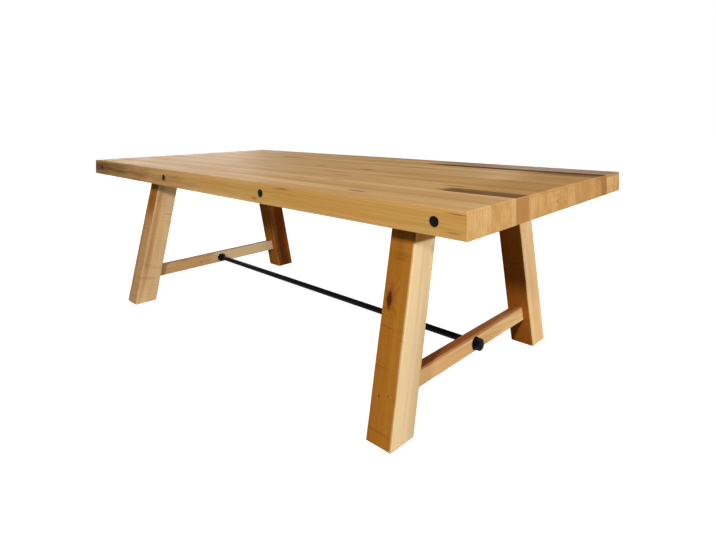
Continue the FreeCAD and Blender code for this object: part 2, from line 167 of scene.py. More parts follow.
def take_primitive(name):
    """Names the primitive that was just added, and sets its place, turn and size into its mesh."""
    piece = bpy.context.object
    piece.name = piece.data.name = name
    bpy.ops.object.transform_apply(location=True, rotation=True, scale=True)
    return piece


def add_block(name, low, high):
    """A plain block between two corners, from which a timber is cut."""
    bpy.ops.object.select_all(action="DESELECT")
    bpy.ops.mesh.primitive_cube_add(size=1, location=(low + high) / 2, scale=high - low)
    return take_primitive(name)


def edit(kind):
    """Starts editing the active piece with nothing selected."""
    bpy.ops.object.mode_set(mode="EDIT")
    bpy.ops.mesh.select_mode(type=kind)
    bpy.ops.mesh.select_all(action="DESELECT")


def select(kind, test):
    """Selects the verts, edges or faces of the piece in edit mode that pass a test, and nothing else."""
    bpy.ops.mesh.select_all(action="DESELECT")
    mesh = bmesh.from_edit_mesh(bpy.context.object.data)
    for item in getattr(mesh, kind):
        if test(item):
            item.select_set(True)
    bmesh.update_edit_mesh(bpy.context.object.data)


def slide_verts(test, offset):
    """Moves the verts that pass a test towards the back, or the front where the offset is negative."""
    select("verts", test)
    bpy.ops.transform.translate(value=(0, offset, 0))


def end_edit():
    """Back to object mode."""
    bpy.ops.object.mode_set(mode="OBJECT")


def runs_along(axis):
    """A test for edges that run mainly along an axis."""
    def test(edge):
        run = edge.verts[1].co - edge.verts[0].co
        return abs(run[axis]) > 0.9 * run.length
    return test


def cut_along(axis, count):
    """Cuts the edges that run mainly along an axis into count parts."""
    select("edges", runs_along(axis))
    bpy.ops.mesh.subdivide(number_cuts=count - 1)


def weigh_edges(test, weight):
    """Marks sharp edges that pass a test for rounding, by a share of the rounding's width."""
    select("edges", lambda edge: edge.calc_face_angle(0) > SHARP_ANGLE and test(edge))
    bpy.ops.transform.edge_bevelweight(value=weight)


def apply_modifier(piece, kind, **settings):
    """Adds a modifier to the active piece and applies it."""
    modifier = piece.modifiers.new(kind.lower(), kind)
    for name, setting in settings.items():
        setattr(modifier, name, setting)
    bpy.ops.object.modifier_apply(modifier=modifier.name)


def round_edges(piece, width, segments=3):
    """Rounds the edges that were marked."""
    apply_modifier(piece, "BEVEL", width=width, segments=segments, limit_method="WEIGHT")


def combine(piece, tool, operation):
    """Joins a tool to a piece, cuts it out or keeps what both share; the tool is used up."""
    take_up(piece)
    apply_modifier(piece, "BOOLEAN", object=tool, operation=operation, solver="EXACT")
    bpy.data.objects.remove(tool)


def clouds(name, grain):
    """A soft noise for unevenness, of one grain size."""
    texture = bpy.data.textures.get(name) or bpy.data.textures.new(name, "CLOUDS")
    texture.noise_scale = grain
    texture.noise_depth = 2
    return texture


def edge_distance(point, low, high):
    """How far a point on a box's surface lies from the box's nearest edge."""
    gaps = sorted(min(point[i] - low[i], high[i] - point[i]) for i in range(3))
    return gaps[1]


def age(piece, worn, sizes):
    """Gives planed faces a slow wave and worn edges small dents; worn says how worn a vertex is, 0 to 1."""
    group = piece.vertex_groups.new(name="worn")
    for vertex in piece.data.vertices:
        share = worn(vertex.co)
        if share > 0:
            group.add([vertex.index], share, "REPLACE")
    apply_modifier(
        piece, "DISPLACE", texture=clouds("wave", WAVE_GRAIN), strength=sizes.wave, mid_level=0.5,
        texture_coords="GLOBAL",
    )
    apply_modifier(
        piece, "DISPLACE", texture=clouds("dents", DENT_GRAIN), strength=-sizes.dents, mid_level=0.35,
        texture_coords="GLOBAL", vertex_group="worn",
    )
    piece.vertex_groups.clear()


def finish(piece, material, slot, *nodes):
    """Smooths a finished piece, paints it and sets it in place of its CAD nodes."""
    take_up(piece)
    bpy.ops.object.shade_smooth_by_angle(angle=SMOOTH_ANGLE)
    apply_modifier(piece, "WEIGHTED_NORMAL", weight=80, keep_sharp=True)
    piece.data.materials.clear()
    piece.data.materials.append(material)
    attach(piece, BODY)
    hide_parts(*nodes)


def dome(start, end, radius, steps=6):
    """Points of a low dome's arc, from its rim at start to the middle of its top at end."""
    rise = end - start
    sphere = (radius**2 + rise**2) / (2 * rise)
    reaches = [radius * (1 - step / steps) for step in range(steps + 1)]
    return [(end - sphere + math.sqrt(sphere**2 - reach**2), reach) for reach in reaches]


def chamfered(thickness, outer, inner, along, across):
    """Points of the outline of a disc or ring, with its outer rims cut off by so much along and across."""
    return [
        (0, inner), (0, outer - across), (along, outer),
        (thickness - along, outer), (thickness, outer - across), (thickness, inner),
    ]


def turn_piece(name, outline, place, axis, steps=TURNED_SIDES, closed=False):
    """A turned piece. The outline's points are pairs of a distance along the axis and a radius."""
    across = UP if abs(axis.z) < 0.5 else RIGHT
    points = [place + axis * along + across * radius for along, radius in outline]
    if closed:
        points.append(points[0])
    bpy.ops.object.select_all(action="DESELECT")
    bpy.ops.mesh.primitive_plane_add(size=MM, location=points[0])
    piece = take_primitive(name)
    edit("VERT")
    bpy.ops.mesh.select_all(action="SELECT")
    bpy.ops.mesh.merge(type="CENTER")
    for start, end in zip(points, points[1:]):
        bpy.ops.mesh.extrude_region_move(TRANSFORM_OT_translate={"value": end - start})
    bpy.ops.mesh.select_all(action="SELECT")
    bpy.ops.mesh.spin(steps=steps, angle=math.tau, center=place, axis=axis)
    bpy.ops.mesh.select_all(action="SELECT")
    bpy.ops.mesh.remove_doubles(threshold=0.01 * MM)
    bpy.ops.mesh.normals_make_consistent(inside=False)
    end_edit()
    return piece


def add_bar(name, place, axis, reach, radius, sides=TURNED_SIDES):
    """A bar with flat or round sides from a place along an axis, as a cutter."""
    turn = UP.rotation_difference(axis).to_euler()
    bpy.ops.object.select_all(action="DESELECT")
    bpy.ops.mesh.primitive_cylinder_add(
        vertices=sides, radius=radius, depth=reach, location=place + axis * reach / 2, rotation=turn
    )
    return take_primitive(name)


def move_copy(piece, name, offset):
    """A copy of a piece, with a mesh of its own, moved by an offset."""
    take_up(piece)
    bpy.ops.object.duplicate(linked=False)
    copy = bpy.context.object
    copy.name = copy.data.name = name
    copy.location = offset
    bpy.ops.object.transform_apply(location=True)
    return copy


# Work on materials


class Bench:
    """Adds nodes to a tree and links them. A feed is a socket, a plain value, or None for a socket's own."""

    def __init__(self, tree):
        self.tree = tree

    def feed(self, socket, source):
        if isinstance(source, bpy.types.NodeSocket):
            self.tree.links.new(source, socket)
        elif source is not None:
            socket.default_value = source

    def node(self, kind, *feeds, **settings):
        new = self.tree.nodes.new(f"ShaderNode{kind}")
        for name, setting in settings.items():
            setattr(new, name, setting)
        for socket, source in zip(new.inputs, feeds):
            self.feed(socket, source)
        return new

    def math(self, operation, *feeds):
        return self.node("Math", *feeds, operation=operation).outputs[0]

    def vector(self, operation, *feeds):
        new = self.node("VectorMath", *feeds, operation=operation)
        return new.outputs["Value" if operation in ("LENGTH", "DOT_PRODUCT") else "Vector"]

    def noise(self, vector, stretch, detail=2.0, rough=0.5, output="Factor"):
        stretched = self.vector("MULTIPLY", vector, stretch)
        new = self.node("TexNoise")
        for name, source in {"Vector": stretched, "Scale": 1.0, "Detail": detail, "Roughness": rough}.items():
            self.feed(new.inputs[name], source)
        return new.outputs[0 if output == "Factor" else 1]

    def spread(self, value, low, high, start=0.0, end=1.0):
        """Maps low..high smoothly onto start..end."""
        return self.node(
            "MapRange", value, low, high, start, end, interpolation_type="SMOOTHSTEP"
        ).outputs[0]

    def mix(self, share, first, second, blend="MIX"):
        new = self.node("Mix", data_type="RGBA", blend_type=blend)
        for index, source in zip((0, 6, 7), (share, first, second)):
            if index and not isinstance(source, bpy.types.NodeSocket):
                source = (*source, 1.0)
            self.feed(new.inputs[index], source)
        return new.outputs[2]

    def group(self, tree, **feeds):
        new = self.tree.nodes.new("ShaderNodeGroup")
        new.node_tree = tree
        for name, source in feeds.items():
            socket = new.inputs[name.replace("_", " ").capitalize()]
            if socket.type == "RGBA" and not isinstance(source, bpy.types.NodeSocket):
                source = (*source, 1.0)
            self.feed(socket, source)
        return new.outputs


def empty_bench(owner):
    """A bench for the cleared nodes of a material or a world."""
    owner.use_nodes = True
    owner.node_tree.nodes.clear()
    return Bench(owner.node_tree)


def new_group(name, inputs, outputs):
    """An empty node group with its sockets; inputs and outputs give each socket's kind."""
    tree = bpy.data.node_groups.new(name, "ShaderNodeTree")
    for way, sockets in (("INPUT", inputs), ("OUTPUT", outputs)):
        for label, kind in sockets.items():
            tree.interface.new_socket(label, in_out=way, socket_type=f"NodeSocket{kind}")
    bench = Bench(tree)
    source = tree.nodes.new("NodeGroupInput").outputs
    sink = tree.nodes.new("NodeGroupOutput").inputs
    return tree, bench, source, sink


# What the wood's colour is multiplied by where its figure is light and deep, and by the lines on its ends

GRAIN_LIGHT = Vector((1.13, 1.19, 1.27))
GRAIN_DEEP = Vector((0.70, 0.55, 0.38))
END_LINE = Vector((0.80, 0.75, 0.68))


def grain_group(name):
    """Solid wood: sapwood round a heart, rings about the pith, long streaks and fibres. The grain runs along
    Z, in metres, and the pith is at X = Y = 0."""
    tree, bench, source, sink = new_group(
        name,
        {"Grain": "Vector", "Ring": "Float", "Figure": "Float", "Flow": "Float", "Heart radius": "Float",
         "Sap": "Color", "Heart": "Color"},
        {"Colour": "Color", "Height": "Float", "Tone": "Float", "Section": "Float"},
    )
    grain = source["Grain"]
    wander = bench.noise(grain, (4.0, 4.0, 0.8), 2.0, 0.5, "Color")
    wander = bench.vector("SUBTRACT", wander, (0.5, 0.5, 0.5))
    bent = bench.vector("MULTIPLY_ADD", wander, (0.04, 0.04, 0.0), grain)
    radius = bench.vector("LENGTH", bench.vector("MULTIPLY", bent, (1.0, 1.0, 0.0)))

    slow = bench.noise(bent, (30.0, 30.0, 0.4), 2.0)
    rough = bench.noise(grain, (120.0, 120.0, 5.0), 2.0)
    rings = bench.math("ADD", bench.math("DIVIDE", radius, source["Ring"]), source["Flow"])
    rings = bench.math("MULTIPLY_ADD", slow, 5.0, bench.math("MULTIPLY_ADD", rough, 0.9, rings))
    ring = bench.math("FRACT", rings)
    late = bench.math("MULTIPLY", bench.spread(ring, 0.2, 0.86), bench.spread(ring, 0.88, 1.0, 1.0, 0.0))

    wide = bench.spread(bench.noise(bent, (9.0, 9.0, 0.6), 2.0), 0.36, 0.66)
    flame = bench.spread(bench.noise(bent, (28.0, 28.0, 1.3), 3.0, 0.55), 0.34, 0.68)
    band = bench.noise(bent, (95.0, 95.0, 2.4), 3.0, 0.6)
    fibre = bench.noise(grain, (420.0, 420.0, 7.0), 4.0, 0.6)
    line = bench.noise(grain, (1500.0, 1500.0, 22.0), 2.0)
    tone = bench.math("MULTIPLY", bench.math("MULTIPLY", late, source["Figure"]), 0.8)
    for share, weight in ((wide, 0.22), (flame, 0.26), (band, 0.38), (fibre, 0.42), (line, 0.16)):
        tone = bench.math("MULTIPLY_ADD", share, weight, tone)
    tone = bench.math("SUBTRACT", tone, 0.32)

    ragged = bench.math("MULTIPLY_ADD", flame, 5 * MM, radius)
    ragged = bench.math("MULTIPLY_ADD", band, 6 * MM, ragged)
    inside = bench.math("SUBTRACT", ragged, source["Heart radius"])
    heart = bench.spread(inside, 2 * MM, 9 * MM, 1.0, 0.0)
    body = bench.mix(heart, source["Sap"], source["Heart"])
    tint = bench.vector("MULTIPLY_ADD", tone, GRAIN_DEEP - GRAIN_LIGHT, GRAIN_LIGHT)
    bench.feed(sink["Colour"], bench.vector("MULTIPLY", body, tint))
    height = bench.math("MULTIPLY_ADD", fibre, -0.6, bench.math("MULTIPLY", line, -0.4))
    bench.feed(sink["Height"], bench.math("MULTIPLY_ADD", late, 0.3, height))
    bench.feed(sink["Tone"], tone)
    bench.feed(sink["Section"], bench.noise(grain, (9.0, 190.0, 0.0), 4.0, 0.65))
    return tree


def mark_group(name):
    """A knot, streak or stain with a ragged rim. Mask is 1 in its middle and 0 outside. Reach is 0 in its
    middle and 1 at its rim. A higher Power makes it squarer."""
    tree, bench, source, sink = new_group(
        name,
        {"Vector": "Vector", "Grain": "Vector", "Place": "Vector", "Size": "Vector", "Power": "Float",
         "Core": "Float", "Ragged": "Float"},
        {"Mask": "Float", "Reach": "Float"},
    )
    offset = bench.vector("SUBTRACT", source["Vector"], source["Place"])
    shares = bench.vector("ABSOLUTE", bench.vector("DIVIDE", offset, source["Size"]))
    total = None
    for share in bench.node("SeparateXYZ", shares).outputs:
        raised = bench.math("POWER", share, source["Power"])
        total = raised if total is None else bench.math("ADD", total, raised)
    reach = bench.math("POWER", total, bench.math("DIVIDE", 1.0, source["Power"]))
    noise = bench.noise(source["Grain"], (70.0, 70.0, 9.0), 3.0, 0.6)
    noise = bench.math("MULTIPLY", bench.math("SUBTRACT", noise, 0.5), source["Ragged"])
    reach = bench.math("ADD", reach, noise)
    bench.feed(sink["Mask"], bench.spread(reach, source["Core"], 1.0, 1.0, 0.0))
    bench.feed(sink["Reach"], reach)
    return tree


def edge_group(name):
    """How far a point on a box's surface lies from the box's nearest edge."""
    tree, bench, source, sink = new_group(
        name, {"Vector": "Vector", "Half": "Vector"}, {"Distance": "Float"}
    )
    gaps = bench.vector("SUBTRACT", source["Half"], bench.vector("ABSOLUTE", source["Vector"]))
    x, y, z = bench.node("SeparateXYZ", gaps).outputs
    low, high = bench.math("MINIMUM", x, y), bench.math("MAXIMUM", x, y)
    bench.feed(sink["Distance"], bench.math("MAXIMUM", low, bench.math("MINIMUM", high, z)))
    return tree


GROUPS = {"Timber grain": grain_group, "Wood mark": mark_group, "Edge distance": edge_group}


def shared(name):
    """A node group that is made once."""
    return bpy.data.node_groups.get(name) or GROUPS[name](name)


def new_material(name):
    """A material with a plain shader; also gives its bench, the shader's inputs and the coordinates."""
    material = bpy.data.materials.new(name)
    bench = empty_bench(material)
    shader = bench.node("BsdfPrincipled")
    bench.node("OutputMaterial", shader.outputs[0])
    place = bench.node("TexCoord").outputs["Object"]
    return material, bench, shader.inputs, place


class Mark(NamedTuple):
    """A knot, streak or stain. Its place and reach are in millimetres, and it leans with its timber or stands
    level. It is full within its core, its rim is ragged, and a higher power makes it squarer."""

    tint: str
    place: tuple
    reach: tuple
    strength: float = 0.8
    core: float = 0.3
    ragged: float = 0.5
    power: float = 2.0
    level: bool = False


class Timber(NamedTuple):
    """What one timber is cut from. The turn carries Z to its grain; the pith is a point on the tree's middle.
    Figure, wear and saw say how strongly those show, and normals name the sawn faces."""

    sap: tuple
    heart: tuple
    pith: Vector
    turn: Euler
    ring: float
    heart_radius: float
    figure: float = 0.2
    wear: float = 0.35
    saw: float = 0.0
    sawn_faces: tuple = ()


class Form(NamedTuple):
    """The box whose edges are worn: the timber's own, or the whole slab's."""

    middle: Vector
    turn: Euler
    half: Vector


KNOT_FLOW = 4.0
WOOD_GLOSS = 0.3
WOOD_IOR = 1.12
WOOD_ROUGHNESS = 0.5
RUBBED_WIDTH = 11 * MM
WOOD_RELIEF = 0.4 * MM
METAL_RELIEF = 0.05 * MM
DARK_MARKS = ("brown", "knot", "umber")
DARK_DULLNESS = 0.5
END_DARKNESS = 0.5
SAW_DARKNESS = 0.45
SAW_TINT = GRAIN_DEEP * 0.75


def timber_material(name, timber, form, marks, colours):
    """Oiled wood for one timber, with its own knots, streaks, saw marks and worn edges."""
    material, bench, shader, place = new_material(name)
    grain = bench.node("Mapping", place, timber.pith, timber.turn, vector_type="TEXTURE").outputs[0]
    local = bench.node("Mapping", place, form.middle, form.turn, vector_type="TEXTURE").outputs[0]
    straighten = form.turn.to_matrix().inverted()
    flow = 0.0
    masks = []
    for mark in marks:
        middle = Vector(mark.place) * MM
        if not mark.level:
            middle = straighten @ (middle - form.middle)
        spot = bench.group(
            shared("Wood mark"), vector=place if mark.level else local, grain=grain, place=middle,
            size=Vector(mark.reach) * MM, power=mark.power, core=mark.core, ragged=mark.ragged,
        )
        masks.append(spot["Mask"])
        if mark.tint == "knot":
            flow = bench.math("ADD", bench.spread(spot["Reach"], 0.2, 3.2, KNOT_FLOW, 0.0), flow)
    wood = bench.group(
        shared("Timber grain"), grain=grain, ring=timber.ring, figure=timber.figure, flow=flow,
        heart_radius=timber.heart_radius, sap=timber.sap, heart=timber.heart,
    )
    shade, height = wood["Colour"], wood["Height"]
    dull = 0.0
    for mark, mask in zip(marks, masks):
        if mark.tint in DARK_MARKS:
            dull = bench.math("MAXIMUM", mask, dull)
        tint = tuple(getattr(colours, mark.tint))
        vary = bench.math("MULTIPLY_ADD", wood["Tone"], 0.5 * mark.strength, 0.75 * mark.strength)
        shade = bench.mix(bench.math("MULTIPLY", mask, vary), shade, tint)
    if timber.saw:
        shade, height = add_saw_marks(bench, grain, timber, shade, height)
    shade = show_section(bench, timber, wood["Section"], shade)

    edge = bench.group(shared("Edge distance"), vector=local, half=form.half)["Distance"]
    rub = bench.math("MULTIPLY", bench.noise(place, (45.0, 45.0, 45.0), 3.0, 0.6), RUBBED_WIDTH)
    worn = bench.spread(bench.math("DIVIDE", edge, rub), 0.0, 1.0, 1.0, 0.0)
    shade = bench.mix(bench.math("MULTIPLY", worn, timber.wear), shade, timber.sap)
    bench.feed(shader["Base Color"], shade)

    sheen = bench.noise(place, (5.0, 5.0, 5.0), 2.0)
    rough = bench.math("MULTIPLY_ADD", wood["Tone"], 0.1, WOOD_ROUGHNESS)
    rough = bench.math("MULTIPLY_ADD", sheen, 0.16, rough)
    bench.feed(shader["Roughness"], bench.math("MULTIPLY_ADD", dull, DARK_DULLNESS, rough))
    shader["Specular IOR Level"].default_value = WOOD_GLOSS
    shader["IOR"].default_value = WOOD_IOR
    add_bump(bench, shader, height, strength=0.5, distance=WOOD_RELIEF)
    return material


def facing(bench, direction):
    """1 where a surface looks along a direction, and -1 where it looks away."""
    return bench.vector("DOT_PRODUCT", bench.node("TexCoord").outputs["Normal"], direction)


def show_section(bench, timber, section, shade):
    """The ends of a timber show the edges of its rings as fine lines."""
    along = facing(bench, timber.turn.to_matrix() @ UP)
    cut = bench.spread(bench.math("ABSOLUTE", along), 0.6, 0.9)
    lines = bench.spread(section, 0.38, 0.62, 0.0, END_DARKNESS)
    return bench.mix(bench.math("MULTIPLY", cut, lines), shade, END_LINE, "MULTIPLY")


def add_saw_marks(bench, grain, timber, shade, height):
    """Fine lines that a saw left across the grain, in patches on some faces, which their normals name."""
    marks = bench.noise(grain, (4.0, 4.0, 170.0), 2.0)
    patch = bench.spread(bench.noise(grain, (7.0, 7.0, 9.0), 2.0), 0.42, 0.62)
    sawn = 0.0
    for normal in timber.sawn_faces:
        sawn = bench.math("MAXIMUM", bench.spread(facing(bench, normal), 0.6, 0.9), sawn)
    patch = bench.math("MULTIPLY", patch, sawn)
    marks = bench.math("MULTIPLY", bench.math("SUBTRACT", marks, 0.5), patch)
    marks = bench.math("MULTIPLY", marks, timber.saw)
    dark = bench.spread(marks, 0.0, 0.12)
    shade = bench.mix(bench.math("MULTIPLY", dark, SAW_DARKNESS), shade, SAW_TINT, "MULTIPLY")
    return shade, bench.math("MULTIPLY_ADD", marks, -2.5, height)


def add_bump(bench, shader, height, strength, distance):
    """Relief from a height."""
    bump = bench.node("Bump")
    for label, source in {"Strength": strength, "Distance": distance, "Height": height}.items():
        bench.feed(bump.inputs[label], source)
    bench.feed(shader["Normal"], bump.outputs[0])


def metal_material(name, base, metallic, rough, gloss, pits):
    """Painted or plated metal with fine pits and rubbed patches."""
    material, bench, shader, place = new_material(name)
    patch = bench.noise(place, (70.0, 70.0, 70.0), 3.0, 0.6)
    pit = bench.noise(place, (900.0, 900.0, 900.0), 3.0, 0.6)
    lighter = tuple(min(1.0, part * 1.6 + 0.006) for part in base)
    bench.feed(shader["Base Color"], bench.mix(bench.spread(patch, 0.45, 0.75), base, lighter))
    shader["Metallic"].default_value = metallic
    shader["Specular IOR Level"].default_value = gloss
    bench.feed(shader["Roughness"], bench.math("MULTIPLY_ADD", patch, 0.25, rough))
    add_bump(bench, shader, pit, strength=pits, distance=METAL_RELIEF)
    return material


def black_steel(scene):
    """Satin black steel, made once."""
    tint = tuple(scene.table_colours.steel)
    return bpy.data.materials.get("satin_black") or metal_material(
        "satin_black", tint, metallic=0.0, rough=0.3, gloss=0.05, pits=0.15
    )


def zinc(scene):
    """Bright zinc plating, made once."""
    tint = tuple(scene.table_colours.zinc)
    return bpy.data.materials.get("zinc_plate") or metal_material(
        "zinc_plate", tint, metallic=1.0, rough=0.25, gloss=0.5, pits=0.3
    )


# The top

OUTER_CUTS = 120
INNER_CUTS = 30
FACE_CUTS = 4
BOARD_KINDS = (
    "honey", "pale", "tan", "pale", "brown", "honey", "tan", "pale", "honey",
    "tan", "pale", "honey", "tan", "pale", "honey", "brown", "pale", "tan",
)
TOP = 750  # the height of the boards' upper faces, in the marks' millimetres
WHOLE_FACE = (0.8, 0.3, 6.0)  # the core, ragged and power of a mark that fills a face


def gold_patch(x, y, reach, strength=0.5):
    """A golden patch on one board of the top."""
    return Mark("gold", (x, y, TOP), (reach, 60, 12), strength, 0.1, 0.6, 3.0)


def dark_end(y, strength, depth=5):
    """The darker right end of a board."""
    return Mark("umber", (1221, y, 712), (depth, 60, 60), strength, 0.8, 0.1, 6.0)


BOARD_MARKS = {
    1: (
        Mark("gold", (1000, -585, 712), (1800, 5, 50), 0.85, 0.2, 0.3, 3.0),
        # Darker towards the left end of the front face.
        Mark("brown", (-1300, -585, 712), (1200, 40, 60), 0.76, 0.1, 0.6),
        Mark("red", (-660, -585, 700), (170, 14, 30), 0.45, 0.1),
        Mark("red", (-300, -585, 706), (170, 14, 36), 0.4, 0.1, 0.8),
        Mark("grey", (-130, -585, 700), (80, 10, 20), 0.3, 0.1),
        Mark("orange", (60, -585, 728), (260, 10, 16), 0.4, 0.1, 0.8),
        Mark("red", (337, -585, 690), (24, 8, 8), 0.6),
        Mark("brown", (500, -585, 738), (60, 8, 5), 0.5, 0.1, 0.8),
        Mark("orange", (760, -585, 700), (300, 10, 14), 0.35, 0.1, 0.8),
        Mark("amber", (1120, -585, 741), (240, 10, 9), 0.6, 0.1, 0.8),
        Mark("red", (1190, -585, 738), (45, 8, 3), 0.8, 0.1, 0.8),
        Mark("red", (1180, -585, 690), (35, 8, 4), 0.6, 0.1, 0.8),
    ),
    2: (Mark("brown", (778, -508, TOP), (52, 11, 12), 0.75),),
    3: (Mark("grey", (-840, -445, TOP), (100, 24, 12), 0.4, 0.1),),
    4: (
        Mark("red", (350, -380, TOP), (40, 16, 10), 0.6),
        Mark("olive", (515, -345, TOP), (65, 14, 12), 0.6, 0.1),
    ),
    5: (
        Mark("brown", (1160, -290, TOP), (225, 50, 120), 0.85, 0.8, 0.55, 5.0),
        dark_end(-290, 1.0, 4),
    ),
    6: (
        Mark("brown", (950, -215, TOP), (80, 24, 12), 0.5, 0.1, 0.8),
        Mark("red", (420, -226, TOP), (90, 18, 12), 0.5, 0.1, 0.8),
        Mark("olive", (-90, -190, TOP), (85, 28, 14), 0.5, 0.1),
    ),
    7: (
        Mark("red", (300, -150, TOP), (110, 16, 12), 0.5, 0.1, 0.8),
        gold_patch(860, -140, 420),
    ),
    8: (gold_patch(820, -90, 380),),
    9: (gold_patch(760, -30, 460),),
    10: (
        Mark("olive", (62, -4, TOP), (52, 22, 14), 0.85),
        Mark("knot", (360, -6, TOP), (44, 14, 22), 0.8),
        gold_patch(760, 30, 420),
    ),
    11: (
        Mark("red", (-1110, 92, TOP), (110, 20, 14), 0.6, 0.1),
        gold_patch(700, 92, 380, 0.45),
        dark_end(92, 0.35),
    ),
    12: (
        Mark("red", (-1100, 128, TOP), (120, 24, 14), 0.7, 0.1),
        dark_end(146, 0.65),
    ),
    13: (
        Mark("red", (490, 212, TOP), (120, 22, 12), 0.5, 0.1, 0.8),
        dark_end(215, 0.55),
    ),
    14: (
        Mark("brown", (-495, 264, TOP), (180, 24, 20), 0.75, 0.2, 0.6),
        Mark("umber", (1110, 292, TOP), (330, 60, 12), 0.75, 0.3, 0.5, 3.0),
        dark_end(275, 0.55),
    ),
    15: (
        Mark("brown", (1180, 345, TOP), (330, 60, 20), 0.6, 0.3, 0.5, 3.0),
        dark_end(336, 0.7),
    ),
    16: (
        Mark("brown", (1130, 400, TOP), (790, 60, 160), 0.95, 0.76, 0.4, 6.0),
        dark_end(400, 0.75, 4),
    ),
    17: (Mark("grey", (900, 466, TOP), (570, 60, 12), 0.8, 0.6, 0.4, 4.0),),
    18: (
        Mark("grey", (900, 560, TOP), (620, 90, 12), 0.75, 0.6, 0.4, 4.0),
        Mark("brown", (30, 572, TOP), (440, 40, 30), 0.6, 0.1, 0.6),
    ),
}
END_FLECK = Mark("knot", (1220, -46, 707), (8, 5, 7), 0.8)
RIGHT_END_TONE = Mark("umber", (1190, 0, TOP), (260, 900, 12), 0.5, 0.3, 0.8)
TONED_BOARDS = range(6, 14)


class TABLE_OT_add_boards(bpy.types.Operator):
    """Lay the boards of the top side by side"""

    bl_idname = "dining_table.add_boards"
    bl_label = "Boards"

    def execute(self, context):
        for number in range(1, BOARD_COUNT + 1):
            lay_board(number, context.scene)
        return {"FINISHED"}


def lay_board(number, scene):
    """One board of the top: rounded and worn where it shows, and only eased at its joints."""
    sizes = scene.table_sizes
    node = f"stave_{number:02d}"
    low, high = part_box(node)
    outer = number in (1, BOARD_COUNT)
    board = add_block(f"board_{number:02d}", low, high)
    edit("EDGE")
    cut_along(0, OUTER_CUTS if outer else INNER_CUTS)
    cut_along(1, FACE_CUTS)
    cut_along(2, FACE_CUTS)

    def on_slab_edge(edge):
        middle = (edge.verts[0].co + edge.verts[1].co) / 2
        return edge_distance(middle, SLAB_LOW, SLAB_HIGH) < 0.1 * MM

    weigh_edges(on_slab_edge, 1.0)
    weigh_edges(lambda edge: not on_slab_edge(edge), sizes.joint_ease / sizes.slab_round)
    end_edit()
    round_edges(board, sizes.slab_round)
    age(board, lambda point: 1 - edge_distance(point, SLAB_LOW, SLAB_HIGH) / WORN_REACH, sizes)
    finish(board, board_material(number, low, high, scene), f"board_{BOARD_KINDS[number - 1]}", node)


def board_material(number, low, high, scene):
    """Wood for one board, with its own pith, rings and tones."""
    colours = scene.table_colours
    draw = random.Random(number)
    kind = BOARD_KINDS[number - 1]
    aside = draw.choice((-1, 1)) * draw.uniform(0.09, 0.2)
    pith = (low + high) / 2 + Vector((draw.uniform(-3, 3), aside, draw.uniform(-0.05, 0.02)))
    sap = Vector(getattr(colours, "tan" if kind == "brown" else kind))
    timber = Timber(
        tuple(sap), tuple(sap.lerp(Vector(colours.amber), 0.5)), pith, GRAIN_ALONG_X,
        draw.uniform(4.0, 7.0) * MM, abs(aside) - draw.uniform(-0.02, 0.06), figure=0.32,
    )
    marks = BOARD_MARKS.get(number, ())
    if low.y < END_FLECK.place[1] * MM < high.y:
        marks = (*marks, END_FLECK)
    if number in TONED_BOARDS:
        marks = (*marks, RIGHT_END_TONE)
    form = Form(SLAB_MIDDLE, Euler(), SLAB_HALF)
    return timber_material(f"board_wood_{number:02d}", timber, form, marks, colours)


# The trestles

POST_CUTS = 34
RAIL_CUTS = 30
RAIL_FACE_CUTS = 3
RAIL_WORN_REACH = 6 * MM
SAPWOOD = 3 * MM
BORE_REACH = 60 * MM
SLOT_START = 20 * MM
SLOT_REACH = 150 * MM
TENONS = {"stretcher": (16, 38, 60), "bearer": (24, 34, 55)}  # the width, height and reach, in millimetres


def painted_head_shadow(tint, strength):
    """Painted shadow: a level dark band at the head of the front right post's right face, where the top's
    shadow falls.
    """
    return Mark(tint, (926, -340, 650), (14, 160, 64), strength, 0.88, 0.05, 8.0, True)


POST_MARKS = {
    "front_right": (
        Mark("red", (854, -440, 421), (26, 14, 66), 0.9, 0.4, 0.3, 1.4),
        Mark("knot", (850, -442, 410), (16, 12, 42), 1.0, 0.4, 0.3, 1.4),
        Mark("knot", (855, -500, 134), (5, 5, 7), 0.8),
        Mark("knot", (889, -497, 144), (4, 5, 5), 0.7),
        Mark("knot", (924, -312, 557), (8, 12, 26), 0.7),
        Mark("cream", (926, -403, 330), (14, 62, 480), 0.65, 0.7, 0.2, 6.0),
        # Painted shadow of the top across the head of this post's right face, in heart colour and brown.
        painted_head_shadow("frame_heart", 1.0),
        painted_head_shadow("brown", 0.3),
    ),
    "back_right": (
        # Dark inner face of the back right post: partly darker wood and partly painted shade under the top.
        Mark("russet", (866, 349, 330), (54, 14, 480), 0.52, *WHOLE_FACE),
        Mark("peach", (926, 403, 330), (8, 62, 480), 0.75, 0.8, 0.2, 4.0),
    ),
    "front_left": (
        # Paler right face of the front left post: partly the wood's own tone and partly painted light.
        Mark("peach", (-824, -403, 330), (14, 62, 520), 0.85, 0.8, 0.3, 5.0),
        Mark("peach", (-874, -484, 200), (62, 14, 330), 0.5, 0.6, 0.3, 6.0),
        Mark("orange", (-912, -457, 330), (24, 16, 460), 0.65, 0.4, 0.4, 4.0),
        Mark("orange", (-824, -438, 330), (14, 26, 460), 0.65, 0.1, 1.0),
    ),
    "back_left": (
        # The back left post's right face is made dark brown all over, and darker still low down towards the
        # back.
        Mark("russet", (-824, 403, 330), (16, 62, 480), 0.95, *WHOLE_FACE),
        Mark("brown", (-824, 460, 60), (24, 60, 280), 0.8, 0.2, 0.4),
        Mark("orange", (-824, 350, 440), (14, 18, 260), 0.7, 0.2, 0.6),
    ),
}
